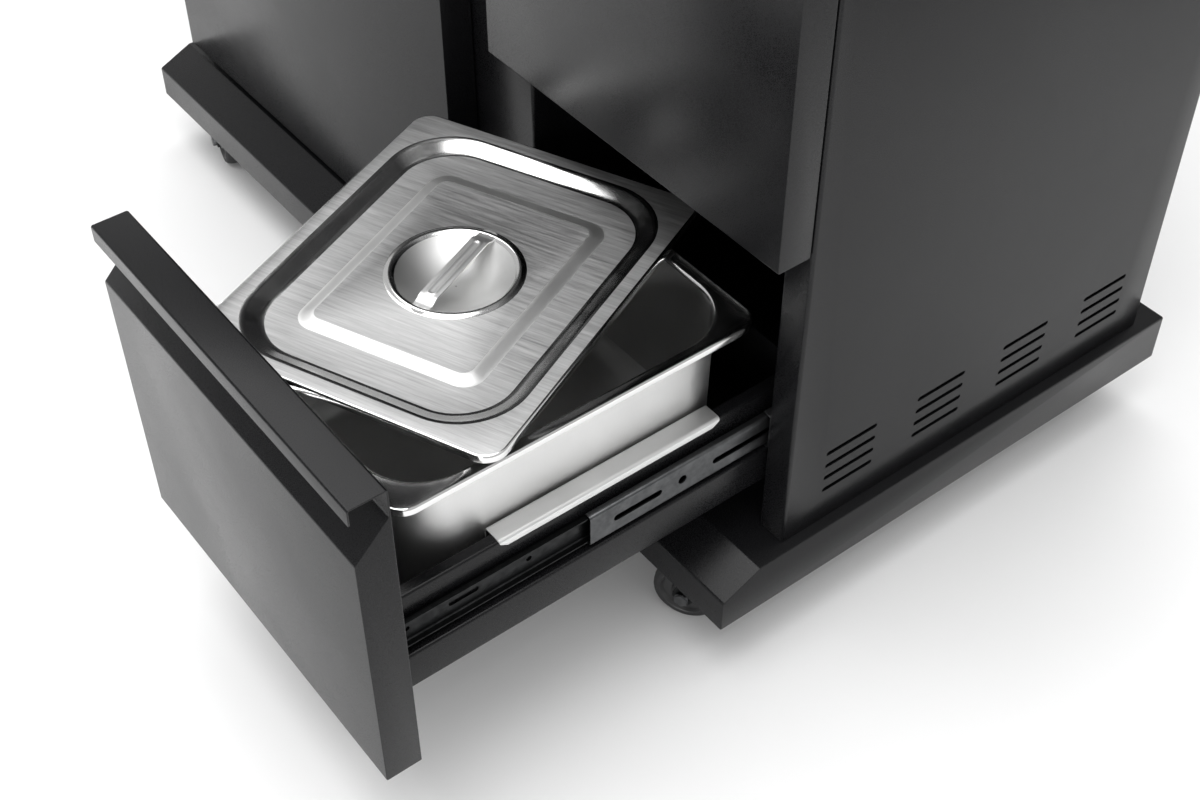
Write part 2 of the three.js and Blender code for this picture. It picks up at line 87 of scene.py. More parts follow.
class Finish:
    """A node material that starts from a Principled shader and object coordinates."""

    def __init__(self, name, color, metallic, roughness, **sockets):
        self.material = bpy.data.materials.new(name)
        self.material.use_nodes = True
        self.tree = self.material.node_tree
        self.shader = self.tree.nodes["Principled BSDF"]
        self.set("Base Color", (*color, 1.0))
        self.set("Metallic", metallic)
        self.set("Roughness", roughness)
        for socket, value in sockets.items():
            self.set(socket.replace("_", " "), value)
        self.place = self.tree.nodes.new("ShaderNodeTexCoord").outputs["Object"]

    def set(self, socket, value):
        self.shader.inputs[socket].default_value = value

    def link(self, source, socket):
        self.tree.links.new(source, socket)

    def noise(self, scale, stretch=(1, 1, 1), detail=3.0, rough=0.55):
        mapping = self.tree.nodes.new("ShaderNodeMapping")
        mapping.inputs["Scale"].default_value = stretch
        self.link(self.place, mapping.inputs["Vector"])
        node = self.tree.nodes.new("ShaderNodeTexNoise")
        node.inputs["Scale"].default_value = scale
        node.inputs["Detail"].default_value = detail
        node.inputs["Roughness"].default_value = rough
        self.link(mapping.outputs["Vector"], node.inputs["Vector"])
        return node.outputs["Fac"]

    def ramp(self, source, low, high):
        """A noise's usual values, spread from low to high."""
        node = self.tree.nodes.new("ShaderNodeMapRange")
        node.inputs["From Min"].default_value = NOISE_LOW
        node.inputs["From Max"].default_value = NOISE_HIGH
        node.inputs["To Min"].default_value = low
        node.inputs["To Max"].default_value = high
        self.link(source, node.inputs["Value"])
        return node.outputs["Result"]

    def add(self, first, second):
        node = self.tree.nodes.new("ShaderNodeMath")
        node.operation = "ADD"
        self.link(first, node.inputs[0])
        self.link(second, node.inputs[1])
        return node.outputs["Value"]

    def tint(self, source, dark, light, start=NOISE_LOW, stop=NOISE_HIGH):
        """Colours the surface from dark to light as the source goes from start to stop."""
        node = self.tree.nodes.new("ShaderNodeValToRGB")
        node.color_ramp.elements[0].position = start
        node.color_ramp.elements[0].color = (*dark, 1.0)
        node.color_ramp.elements[1].position = stop
        node.color_ramp.elements[1].color = (*light, 1.0)
        self.link(source, node.inputs["Fac"])
        self.link(node.outputs["Color"], self.shader.inputs["Base Color"])

    def bump(self, source, strength, distance):
        """Adds relief on top of any bump that is there already; the distance is in millimetres."""
        node = self.tree.nodes.new("ShaderNodeBump")
        node.inputs["Strength"].default_value = strength
        node.inputs["Distance"].default_value = distance * MM
        self.link(source, node.inputs["Height"])
        previous = self.shader.inputs["Normal"].links
        if previous:
            self.link(previous[0].from_socket, node.inputs["Normal"])
        self.link(node.outputs["Normal"], self.shader.inputs["Normal"])

    def grain_along_x(self):
        """Spreads highlights across a grain that runs along the object's X axis."""
        node = self.tree.nodes.new("ShaderNodeVectorTransform")
        node.vector_type = "VECTOR"
        node.convert_from = "OBJECT"
        node.convert_to = "WORLD"
        node.inputs["Vector"].default_value = (0.0, 1.0, 0.0)
        self.link(node.outputs["Vector"], self.shader.inputs["Tangent"])

    def roughness(self, source):
        self.link(source, self.shader.inputs["Roughness"])


def powder_coat():
    """Satin black powder coating: a fine leathery grain over slow changes in gloss."""
    finish = Finish(
        "powder_coat", (0.006, 0.006, 0.0065), metallic=0.0, roughness=0.32, IOR=1.5, Specular_IOR_Level=0.22)
    grain = finish.noise(scale=1500.0, detail=2.0)
    cloud = finish.noise(scale=9.0, detail=2.0)
    finish.tint(grain, dark=(0.003, 0.003, 0.0035), light=(0.011, 0.011, 0.012), start=0.35, stop=0.75)
    finish.roughness(finish.add(
        finish.ramp(grain, low=0.0, high=0.1),
        finish.ramp(cloud, low=0.2, high=0.27)))
    finish.bump(grain, strength=0.35, distance=0.06)
    finish.bump(finish.noise(scale=420.0, detail=1.0), strength=0.2, distance=0.08)
    return finish.material


def brushed_steel():
    """Stainless sheet with its grain along the object's X axis."""
    shade = 0.47
    color = (shade, shade, shade * 0.99)
    finish = Finish("brushed_steel", color, metallic=1.0, roughness=0.3, Anisotropic=0.7)
    finish.grain_along_x()
    lines = finish.noise(scale=2600.0, stretch=(0.012, 1.0, 1.0), detail=3.0, rough=0.7)
    bands = finish.noise(scale=520.0, stretch=(0.04, 1.0, 1.0), detail=4.0, rough=0.7)
    finish.tint(bands, dark=[shade * 0.72] * 3, light=[shade * 1.12] * 3)
    finish.roughness(finish.add(
        finish.ramp(bands, low=0.36, high=0.48),
        finish.ramp(lines, low=-0.05, high=0.07)))
    finish.bump(lines, strength=0.3, distance=0.02)
    finish.bump(bands, strength=0.12, distance=0.03)
    return finish.material


def polished_steel():
    """Pressed and buffed stainless: nearly a mirror, with faint draw marks."""
    finish = Finish("polished_steel", (0.78, 0.78, 0.775), metallic=1.0, roughness=0.12)
    haze = finish.noise(scale=60.0, detail=3.0)
    finish.roughness(finish.ramp(haze, low=0.13, high=0.21))
    finish.bump(finish.noise(scale=35.0, detail=1.0), strength=0.1, distance=0.25)
    return finish.material


def satin_steel():
    """Drawn stainless with an even, silky surface."""
    finish = Finish("satin_steel", (0.76, 0.76, 0.755), metallic=1.0, roughness=0.46)
    silk = finish.noise(scale=1100.0, stretch=(1.0, 1.0, 0.1), detail=2.0)
    cloud = finish.noise(scale=14.0, detail=2.0)
    finish.tint(cloud, dark=(0.72, 0.72, 0.715), light=(0.79, 0.79, 0.785))
    finish.roughness(finish.add(
        finish.ramp(silk, low=-0.03, high=0.03),
        finish.ramp(cloud, low=0.43, high=0.49)))
    finish.bump(silk, strength=0.15, distance=0.02)
    return finish.material


def plated_steel(name, dark, light, rough):
    """Plated strip steel with a slightly uneven bloom."""
    finish = Finish(name, light, metallic=1.0, roughness=rough)
    bloom = finish.noise(scale=140.0, detail=4.0)
    finish.tint(bloom, dark, light)
    finish.roughness(finish.ramp(bloom, low=rough + 0.08, high=rough - 0.04))
    finish.bump(finish.noise(scale=900.0), strength=0.15, distance=0.03)
    return finish.material


def moulded(name, color, rough):
    """Moulded rubber or nylon with a dull, slightly uneven skin."""
    finish = Finish(name, color, metallic=0.0, roughness=rough)
    skin = finish.noise(scale=700.0, detail=2.0)
    finish.roughness(finish.ramp(skin, low=rough - 0.06, high=rough + 0.08))
    finish.bump(skin, strength=0.2, distance=0.08)
    return finish.material


COAT = powder_coat()
BRUSHED = brushed_steel()
SATIN = satin_steel()
POLISHED = polished_steel()
ZINC = plated_steel("zinc_plate", (0.075, 0.077, 0.08), (0.115, 0.117, 0.12), rough=0.34)
BLACK_ZINC = plated_steel("black_zinc", (0.014, 0.0145, 0.015), (0.035, 0.036, 0.037), rough=0.36)
RUBBER = moulded("tyre_rubber", (0.014, 0.014, 0.015), rough=0.62)
NYLON = moulded("hub_nylon", (0.02, 0.02, 0.021), rough=0.38)


# ---- outlines ------------------------------------------------------------------
FILLET_STEPS = 6


def direction(a, b):
    """Unit step from one point of a plane towards another."""
    length = math.dist(a, b)
    return ((b[0] - a[0]) / length, (b[1] - a[1]) / length)


def moved_left(path, distance, closed=False):
    """The path shifted to its left, with its corners mitred."""
    count = len(path)
    shifted = []
    for i, point in enumerate(path):
        if closed:
            before = direction(path[i - 1], point)
            after = direction(point, path[(i + 1) % count])
        else:
            before = direction(path[max(i - 1, 0)], path[max(i, 1)])
            after = direction(path[min(i, count - 2)], path[min(i + 1, count - 1)])
        bend = 1 + before[0] * after[0] + before[1] * after[1]
        shifted.append((
            point[0] - (before[1] + after[1]) / bend * distance,
            point[1] + (before[0] + after[0]) / bend * distance,
        ))
    return shifted


def arc(start, before, radius, turn):
    """Points of an arc that leaves start along the direction before and turns by an angle."""
    side = math.copysign(radius, turn)
    centre = (start[0] - before[1] * side, start[1] + before[0] * side)
    arm = (start[0] - centre[0], start[1] - centre[1])
    points = []
    for k in range(FILLET_STEPS + 1):
        angle = turn * k / FILLET_STEPS
        points.append((
            centre[0] + arm[0] * math.cos(angle) - arm[1] * math.sin(angle),
            centre[1] + arm[0] * math.sin(angle) + arm[1] * math.cos(angle),
        ))
    return points


def filleted(path, radii, closed=False):
    """The path with an arc in place of each corner; radii is one number, or a list with one per point."""
    if not hasattr(radii, "__len__"):
        radii = [radii] * len(path)
    points = []
    for i, corner in enumerate(path):
        at_end = not closed and i in (0, len(path) - 1)
        if at_end or radii[i] == 0:
            points.append(corner)
            continue
        before = direction(path[i - 1], corner)
        after = direction(corner, path[(i + 1) % len(path)])
        cross = before[0] * after[1] - before[1] * after[0]
        dot = before[0] * after[0] + before[1] * after[1]
        turn = math.atan2(cross, dot)
        reach = radii[i] * math.tan(abs(turn) / 2)
        start = (corner[0] - before[0] * reach, corner[1] - before[1] * reach)
        points += arc(start, before, radii[i], turn)
    return points


def folded(path, thickness=SHEET, bend=BEND):
    """Closed outline of a folded sheet that lies on the left of the path."""
    middle = filleted(moved_left(path, thickness / 2), bend + thickness / 2)
    return moved_left(middle, -thickness / 2) + moved_left(middle, thickness / 2)[::-1]


def rectangle(a0, a1, b0, b1):
    """Corners of the rectangle from a0 to a1 and from b0 to b1, anticlockwise."""
    return [(a0, b0), (a1, b0), (a1, b1), (a0, b1)]


def round_ended(a0, a1, b0, b1):
    """Outline of a slot along the first axis."""
    almost_half = 0.499
    return filleted(rectangle(a0, a1, b0, b1), (b1 - b0) * almost_half, closed=True)


def with_radii(*corners):
    """Closed outline from pairs of a corner and its fillet radius."""
    return filleted([point for point, _ in corners], [radius for _, radius in corners], closed=True)


def signed_area(outline):
    """Area of a closed outline; it is negative when the outline runs clockwise."""
    return sum(a[0] * b[1] - a[1] * b[0] for a, b in zip(outline, outline[1:] + outline[:1])) / 2


# ---- meshes --------------------------------------------------------------------
def finish_mesh(name, bm, materials, sharp=SHARP):
    """A Blender object from a bmesh in millimetres, smooth except at its sharp edges."""
    bmesh.ops.remove_doubles(bm, verts=bm.verts, dist=0.002)
    bmesh.ops.recalc_face_normals(bm, faces=bm.faces)
    bmesh.ops.scale(bm, vec=(MM, MM, MM), verts=bm.verts)
    mesh = bpy.data.meshes.new(name)
    bm.to_mesh(mesh)
    bm.free()
    for material in materials:
        mesh.materials.append(material)
    mesh.shade_smooth()
    mesh.set_sharp_from_angle(angle=math.radians(sharp))
    piece = bpy.data.objects.new(name, mesh)
    bpy.context.scene.collection.objects.link(piece)
    return piece


def loft(bm, rings, slots=None):
    """Closes a row of equal rings into one body; slots holds the material slot of each band between them."""
    if slots is None:
        slots = [0] * (len(rings) - 1)
    rows = [[bm.verts.new(point) for point in ring] for ring in rings]
    count = len(rows[0])
    for row, following, slot in zip(rows, rows[1:], slots):
        for k in range(count):
            after = (k + 1) % count
            face = bm.faces.new((row[k], row[after], following[after], following[k]))
            face.material_index = slot
    for row in (rows[0], rows[-1]):
        bm.faces.new(row).material_index = slots[0]


# For each direction of an extrusion: its outline's two axes, and the axis it runs along.
AXES = {"X": (1, 2, 0), "Y": (0, 2, 1), "Z": (0, 1, 2)}
ROUNDED = 0.3              # share of an edge's rounding at which its middle ring lies


def extruded(outline, axis, low, high, edge=EDGE):
    """Bmesh of an outline run along an axis, its end edges rounded by insetting the outline."""
    if signed_area(outline) < 0:
        outline = outline[::-1]
    first, second, along = AXES[axis]
    middle = edge * ROUNDED
    ends = [
        (moved_left(outline, edge, closed=True), 0),
        (moved_left(outline, middle, closed=True), middle),
        (outline, edge),
    ]
    stack = [(shifted, low + depth) for shifted, depth in ends]
    stack += [(shifted, high - depth) for shifted, depth in reversed(ends)]
    rings = []
    for shifted, level in stack:
        ring = []
        for a, b in shifted:
            point = [0.0, 0.0, 0.0]
            point[first], point[second], point[along] = a, b, level
            ring.append(point)
        rings.append(ring)
    bm = bmesh.new()
    loft(bm, rings)
    return bm


def cutter(outline, axis, low, high):
    """Bmesh of a body that only takes material away."""
    return extruded(outline, axis, low, high, edge=CUTTER_EDGE)


def cut_away(piece, cutters):
    """Takes the cutters, which are bmeshes in millimetres, out of the piece for good."""
    tools = []
    for number, bm in enumerate(cutters):
        tool = finish_mesh(f"cutter_{number}", bm, [])
        tools.append(tool)
        modifier = piece.modifiers.new("cut", "BOOLEAN")
        modifier.operation = "DIFFERENCE"
        modifier.solver = "EXACT"
        modifier.object = tool
    bpy.context.view_layer.update()
    depsgraph = bpy.context.evaluated_depsgraph_get()
    mesh = bpy.data.meshes.new_from_object(piece.evaluated_get(depsgraph))
    piece.modifiers.clear()
    piece.data = mesh
    mesh.shade_smooth()
    mesh.set_sharp_from_angle(angle=math.radians(SHARP))
    for tool in tools:
        bpy.data.objects.remove(tool)


# ---- the frame -----------------------------------------------------------------
def box_mm(node):
    """Lowest and highest corner of a CAD node, in millimetres."""
    low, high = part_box(node)
    return low / MM, high / MM


def stand_for(piece, node):
    """The piece takes the place of a CAD node, with its body."""
    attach(piece, NODES[node]["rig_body"])
    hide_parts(node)


def detail(node):
    """Name of the piece that stands for a CAD node."""
    return f"{node}_detail"


def slab(node, material, corner=0.0):
    """A flat sheet in the place of a CAD node: its outline faces along the thinnest side."""
    low, high = box_mm(node)
    size = high - low
    axis = "XYZ"[min(range(3), key=lambda i: size[i])]
    first, second, along = AXES[axis]
    outline = rectangle(low[first], high[first], low[second], high[second])
    if corner:
        outline = filleted(outline, corner, closed=True)
    sheet = finish_mesh(detail(node), extruded(outline, axis, low[along], high[along]), [material])
    stand_for(sheet, node)


def refined(node, material, bevel):
    """The CAD node's own shape with its triangles merged into faces and its edges rounded."""
    same_point, flat_angle, edge_angle = 0.01, math.radians(1), math.radians(30)
    bm = bmesh.new()
    bm.from_mesh(NODES[node].data)
    bmesh.ops.scale(bm, vec=(1 / MM,) * 3, verts=bm.verts)
    bmesh.ops.remove_doubles(bm, verts=bm.verts, dist=same_point)
    bmesh.ops.dissolve_limit(bm, angle_limit=flat_angle, verts=bm.verts, edges=bm.edges)
    sharp = [edge for edge in bm.edges if len(edge.link_faces) == 2 and edge.calc_face_angle(0) > edge_angle]
    bmesh.ops.bevel(bm, geom=sharp, offset=bevel, segments=2, affect="EDGES", clamp_overlap=True)
    for face in bm.faces:
        face.material_index = 0
    stand_for(finish_mesh(detail(node), bm, [material]), node)


# ---- fronts --------------------------------------------------------------------
SLOPE_DROP = 52.0          # from the top of a front down to where its face folds back
WALL_DROP = 24.0           # from the top down to where the slope meets the rear wall
LIP = 14.0                 # depth of the handle's folded lip
FRONT_EDGE = 0.55          # rounding of a front's left and right edges
LINER_PLAY = 0.3           # gap round a liner in its pocket


def front(name):
    """One folded sheet: face, slope, rear wall, handle plate and lip, with a pocket behind for its liner."""
    node = "door_skin" if name == "door" else f"{name}_front"
    liner = "door_liner" if name == "door" else f"{name}_front_liner"
    low, high = box_mm(node)
    y0, y1, z0, z1 = low.y, high.y, low.z, high.z
    outline = with_radii(
        ((y0, z0), 2.0), ((y1, z0), 1.2), ((y1, z1), 2.4), ((y0, z1), 2.0),
        ((y0, z1 - LIP), 0), ((y0 + SHEET, z1 - LIP), 0),
        ((y0 + SHEET, z1 - SHEET), 0.6), ((y1 - SHEET, z1 - SHEET), 0.8),
        ((y1 - SHEET, z1 - WALL_DROP), 3.0), ((y0, z1 - SLOPE_DROP), 3.0),
    )
    skin = finish_mesh(detail(node), extruded(outline, "X", low.x, high.x, FRONT_EDGE), [COAT])
    inner_low, inner_high = box_mm(liner)
    x0, x1 = inner_low.x - LINER_PLAY, inner_high.x + LINER_PLAY
    foot, head = inner_low.z - LINER_PLAY, inner_high.z + LINER_PLAY
    pocket = cutter(rectangle(x0, x1, foot, head), "Y", inner_low.y - LINER_PLAY, y1 + CUTTER_REACH)
    cut_away(skin, [pocket])
    stand_for(skin, node)
    slab(liner, COAT, corner=2.0)


for each in ("waste", "upper", "door"):
    front(each)


# ---- carcass -------------------------------------------------------------------
STILE_RETURN = 20.0        # the side panel's flange behind its stile
REAR_RETURN = 18.0         # its flange along the back
SLOT = {"length": 55.0, "height": 4.5, "pitch": 14.0, "rows": 4, "groups": 4, "group_pitch": 101.0}
SLOT_START = {"y": 40.0, "z": 36.0}      # from the panel's front edge, and from the deck to a slot's middle
WORKTOP = {"rounding": 3.0, "flange": 40.0}
PLINTH = {"lip": 33.0, "slope": 38.0, "rounding": 1.6}


def vent_slots(outer, front_y, deck):
    """Cutters for the vents in a side panel's outer face."""
    punches = []
    for group in range(SLOT["groups"]):
        for row in range(SLOT["rows"]):
            y = front_y + SLOT_START["y"] + group * SLOT["group_pitch"]
            z = deck + SLOT_START["z"] + row * SLOT["pitch"] - SLOT["height"] / 2
            outline = round_ended(y, y + SLOT["length"], z, z + SLOT["height"])
            punches.append(cutter(outline, "X", outer - CUTTER_REACH, outer + CUTTER_REACH))
    return punches


def side_panel(side, sign):
    """Folded sheet with a stile along its front, a flange along its back and vents near its foot."""
    node = f"side_panel_{side}"
    low, high = box_mm(node)
    outer = high.x if sign > 0 else low.x
    inner = low.x if sign > 0 else high.x
    path = [
        (inner, low.y + STILE_RETURN), (inner, low.y), (outer, low.y), (outer, high.y),
        (outer - sign * REAR_RETURN, high.y),
    ]
    outline = folded(path if sign > 0 else path[::-1])
    panel = finish_mesh(detail(node), extruded(outline, "Z", low.z, high.z), [COAT])
    deck = box_mm("plinth_tray")[1].z
    cut_away(panel, vent_slots(outer, low.y, deck))
    stand_for(panel, node)


def centre_post():
    """Channel that opens to the rear."""
    low, high = box_mm("centre_post")
    path = [(low.x, high.y), (low.x, low.y), (high.x, low.y), (high.x, high.y)]
    post = finish_mesh(detail("centre_post"), extruded(folded(path), "Z", low.z, high.z), [COAT])
    stand_for(post, "centre_post")


def worktop():
    """Hollow sheet tray, open below within a flange."""
    low, high = box_mm("worktop")
    rounding, flange = WORKTOP["rounding"], WORKTOP["flange"]
    outline = filleted(rectangle(low.y, high.y, low.z, high.z), rounding, closed=True)
    top = finish_mesh(detail("worktop"), extruded(outline, "X", low.x, high.x, rounding), [BRUSHED])
    hollow = cutter(
        rectangle(low.y + SHEET, high.y - SHEET, low.z + SHEET, high.z - SHEET),
        "X", low.x + SHEET, high.x - SHEET)
    mouth = cutter(
        rectangle(low.y + flange, high.y - flange, low.z - CUTTER_REACH, low.z + CUTTER_REACH),
        "X", low.x + flange, high.x - flange)
    cut_away(top, [hollow, mouth])
    stand_for(top, "worktop")


def plinth():
    """Open-bottomed tray: a low front lip, a slope up to the deck, and plain sides."""
    low, high = box_mm("plinth_tray")
    corners = [
        ((low.y, low.z), 0), ((high.y, low.z), 0), ((high.y, high.z), 2.5),
        ((low.y + PLINTH["slope"], high.z), 3.5), ((low.y, low.z + PLINTH["lip"]), 3.0),
    ]
    bm = extruded(with_radii(*corners), "X", low.x, high.x, PLINTH["rounding"])
    tray = finish_mesh(detail("plinth_tray"), bm, [COAT])
    inside = moved_left([point for point, _ in corners], SHEET, closed=True)
    for i in (0, 1):
        inside[i] = (inside[i][0], low.z - CUTTER_REACH)
    cut_away(tray, [cutter(inside, "X", low.x + SHEET, high.x - SHEET)])
    stand_for(tray, "plinth_tray")


side_panel("right", 1)
side_panel("left", -1)
centre_post()
worktop()
plinth()
for node in ("bay_wall_left", "bay_wall_right", "back_panel"):
    slab(node, COAT)
for node in ("top_rail", "divider_rail"):
    refined(node, COAT, bevel=0.6)
for side in ("right", "left"):
    refined(f"castor_rail_{side}", ZINC, bevel=0.8)
for place in ("lower", "upper"):
    refined(f"hinge_bracket_{place}", ZINC, bevel=0.5)


# ---- drawer boxes and slides -------------------------------------------------------
BOX = {
    "band": 36.0, "band_out": 11.2,      # the band's height, and how far it stands out from the sides
    "flange": 10.0, "bend": 1.0,
}
STRIP = {"thickness": 1.2, "bend": 1.4, "edge": 0.3}
WEB_PUNCHES = {            # start, length and height of each hole along a slide member's web
    "outer": ((18, 5, 5), (60, 34, 5), (150, 5, 5), (210, 34, 5), (330, 34, 5), (380, 5, 5)),
    "mid": ((22, 46, 6), (84, 8, 8), (118, 60, 6), (214, 8, 8), (248, 60, 6), (350, 26, 6)),
    "inner": ((14, 5, 5), (52, 26, 5), (120, 5, 5), (206, 26, 5), (300, 5, 5), (350, 26, 5)),
}


def drawer_box(name):
    """Folded tray: a wide band along its foot, tall sides set in from it, and a flange turned in on top."""
    node = f"{name}_box"
    low, high = box_mm(node)
    centre = (low.x + high.x) / 2
    out = (high.x - low.x) / 2
    side = out - BOX["band_out"]
    band = low.z + BOX["band"]
    right = [(out, low.z), (out, band), (side, band), (side, high.z), (side - BOX["flange"], high.z)]
    path = [(centre - x, z) for x, z in reversed(right)] + [(centre + x, z) for x, z in right]
    outline = folded(path, bend=BOX["bend"])
    stand_for(finish_mesh(detail(node), extruded(outline, "Y", low.y, high.y), [COAT]), node)
    slab(f"{name}_box_back", COAT, corner=1.0)


def slide_member(name, member, side):
    """C-section strip with rounded ball races and a punched web; the inner member faces the other two."""
    node = f"{name}_slide_{member}_{side}"
    low, high = box_mm(node)
    web_on_right = (side == "right") != (member == "inner")
    web, lips = (high.x, low.x) if web_on_right else (low.x, high.x)
    path = [(lips, low.z), (web, low.z), (web, high.z), (lips, high.z)]
    outline = folded(path if web_on_right else path[::-1], STRIP["thickness"], STRIP["bend"])
    material = BLACK_ZINC if member == "inner" else ZINC
    strip = finish_mesh(detail(node), extruded(outline, "Y", low.y, high.y, STRIP["edge"]), [material])
    middle = (low.z + high.z) / 2
    punches = []
    for start, length, height in WEB_PUNCHES[member]:
        y = low.y + start
        hole = round_ended(y, y + length, middle - height / 2, middle + height / 2)
        punches.append(cutter(hole, "X", web - CUTTER_REACH, web + CUTTER_REACH))
    cut_away(strip, punches)
    stand_for(strip, node)


for each in ("waste", "upper"):
    drawer_box(each)
    for side in ("right", "left"):
        for member in ("outer", "mid", "inner"):
            slide_member(each, member, side)


# ---- pan and lid -----------------------------------------------------------------
CORNER_STEPS = 14


def rounded_ring(half_width, half_length, corner, z):
    """Ring of points round a rectangle with quarter-circle corners."""
    ring = []
    for quarter, (sx, sy) in enumerate(((1, 1), (-1, 1), (-1, -1), (1, -1))):
        cx, cy = sx * (half_width - corner), sy * (half_length - corner)
        for k in range(CORNER_STEPS + 1):
            angle = math.pi / 2 * (quarter + k / CORNER_STEPS)
            ring.append((cx + corner * math.cos(angle), cy + corner * math.sin(angle), z))
    return ring


def ease(t):
    """A rise from 0 to 1 that starts and ends level."""
    return (1 - math.cos(math.pi * t)) / 2


def bent_slope(t):
    """A straight slope with a short bend at each end."""
    bend = 0.22
    if t > 0.5:
        return 1 - bent_slope(1 - t)
    rise = t * t / (2 * bend) if t < bend else t - bend / 2
    return rise / (1 - bend)


def sloping_rings(first, last, steps):
    """Ring sizes from one (half width, half length, corner, z) to another, z along the bent slope."""
    rows = []
    for k in range(1, steps + 1):
        t = k / steps
        row = [a + (b - a) * t for a, b in zip(first, last)]
        row[3] = first[3] + (last[3] - first[3]) * bent_slope(t)
        rows.append(tuple(row))
    return rows


def pressed_shell(name, top, under, materials, slots):
    """Body between two rows of ring sizes that both start at the rim's foot.

    The slots are those of the bands between the top's rings; the underside has the first material.
    """
    rings = [rounded_ring(*size) for size in reversed(under)] + [rounded_ring(*size) for size in top]
    bm = bmesh.new()
    loft(bm, rings, [0] * len(under) + slots)
    return finish_mesh(name, bm, materials, sharp=50)


PAN = {"half_width": 132.5, "half_length": 162.5, "depth": 150.0, "edge": 6.0}
PAN_WALL = {"inset": 12.0, "corner": 48.0, "draft": 3.0, "foot": 18.0}
FLOOR_RINGS = ((60, 80, 20), (6, 8, 3))  # half width, half length and corner, across the pan's floor
FLOOR_CROWN = 0.4          # rise of the floor's middle
FOOT_STEPS = 8


def pan():
    """Deep-drawn pan: turned-down rim, big corner radii, slightly drafted walls and a radiused foot."""
    w, l = PAN["half_width"], PAN["half_length"]
    inset, corner, draft, foot = (PAN_WALL[key] for key in ("inset", "corner", "draft", "foot"))
    floor = PRESSED - PAN["depth"]
    rim_rows = [
        (0, 18, -PAN["edge"]), (0, 18, -2.0), (0.4, 17.6, -0.8), (1.3, 17, -0.05), (2.2, 16, -0.25),
        (3.4, 15, -1.3), (inset - 3.6, corner + 3.4, -1.0), (inset - 1.7, corner + 1.6, -1.3),
        (inset - 0.5, corner + 0.5, -2.5), (inset, corner, -4.4),
    ]
    rim = [(w - inwards, l - inwards, radius, z) for inwards, radius, z in rim_rows]
    wall = []
    for k in range(FOOT_STEPS + 1):
        angle = math.pi / 2 * k / FOOT_STEPS
        step = draft + foot * (1 - math.cos(angle))
        wall.append((w - inset - step, l - inset - step, corner - step, floor + foot * (1 - math.sin(angle))))
    broad, middle = FLOOR_RINGS
    top = rim + wall + [(*broad, floor), (*middle, floor + FLOOR_CROWN)]
    rim_under = -PRESSED - 1.4
    under = [
        (w - PRESSED, l - PRESSED, 17, -PAN["edge"]), (w - PRESSED, l - PRESSED, 17, rim_under),
        (w - inset + PRESSED, l - inset + PRESSED, corner + 1, rim_under),
    ]
    under += [(a + PRESSED, b + PRESSED, c + PRESSED, z - PRESSED * 0.6) for a, b, c, z in wall]
    under += [(*broad, floor - PRESSED), (*middle, floor - PRESSED)]
    satin, buffed = 0, 1
    slots = [buffed] * len(rim) + [satin] * (len(top) - 1 - len(rim))
    shell = pressed_shell(detail("pan"), top, under, [SATIN, POLISHED], slots)
    low, high = box_mm("pan")
    shell.location = Vector(((low.x + high.x) / 2, (low.y + high.y) / 2, high.z)) * MM
    stand_for(shell, "pan")


# Heights on the lid count from the rim that it lies on.
LID = {"half_width": 132.5, "half_length": 162.5, "flange_top": 8.2, "skirt_foot": 2.0, "field": 1.2}
LID_STEP = {"start": 13.0, "start_corner": 56.0, "stop": 29.0, "stop_corner": 45.0}    # insets from the edge
LID_PANEL = {"half_width": 69.0, "half_length": 94.0, "rise": 3.0, "slope": 11.0}
BOWL = {"radius": 45.0, "rim": 46.5, "depth": 14.5, "middle": 0.8, "curve": 2.6}
BEAD = {"radius": 54.0, "height": 1.9, "drop": 0.4}
LID_MATERIALS = [BRUSHED, POLISHED, SATIN]


def lid_top():
    """Ring sizes over the lid's top, and the material slots of the bands between them."""
    w, l, flat, field = LID["half_width"], LID["half_length"], LID["flange_top"], LID["field"]
    panel_w, panel_l = LID_PANEL["half_width"], LID_PANEL["half_length"]
    slope, level = LID_PANEL["slope"], field + LID_PANEL["rise"]
    rings, slots = [(w, l, 18, LID["skirt_foot"])], []

    def go_on(more, material):
        rings.extend(more)
        slots.extend([LID_MATERIALS.index(material)] * len(more))

    def circle(radius, z):
        return (radius, radius, radius, z)

    # rounded edge, flat flange, wide step down and field
    go_on([
        (w, l, 18, flat - 1.8), (w - 0.35, l - 0.35, 17.7, flat - 0.8), (w - 1.1, l - 1.1, 17, flat - 0.2),
        (w - 2.0, l - 2.0, 16, flat),
    ], POLISHED)
    start, stop = LID_STEP["start"], LID_STEP["stop"]
    go_on([(w - start, l - start, LID_STEP["start_corner"], flat)], BRUSHED)
    step_foot = (w - stop, l - stop, LID_STEP["stop_corner"], field)
    go_on(sloping_rings(rings[-1], step_foot, steps=12), POLISHED)
    go_on([(panel_w + slope, panel_l + slope, 17, field)], BRUSHED)

    # raised panel, bead and bowl
    go_on(sloping_rings(rings[-1], (panel_w, panel_l, 9, level), steps=8), SATIN)
    go_on([circle(BEAD["radius"] + 1, level)], BRUSHED)
    bead_steps, bowl_steps = 6, 10
    bead = []
    for k in range(1, bead_steps + 1):
        t = k / bead_steps
        radius = BEAD["radius"] + (BOWL["rim"] - BEAD["radius"]) * t
        bead.append(circle(radius, level + BEAD["height"] * math.sin(math.pi * t) - BEAD["drop"] * t))
    go_on(bead, POLISHED)
    rim_z = rings[-1][3]
    bowl = []
    for k in range(1, bowl_steps + 1):
        radius = BOWL["radius"] * (1 - k / bowl_steps) + BOWL["middle"]
        fall = BOWL["depth"] * (1 - (radius / BOWL["rim"]) ** BOWL["curve"])
        bowl.append(circle(radius, rim_z - fall))
    go_on(bowl, SATIN)
    return rings, slots


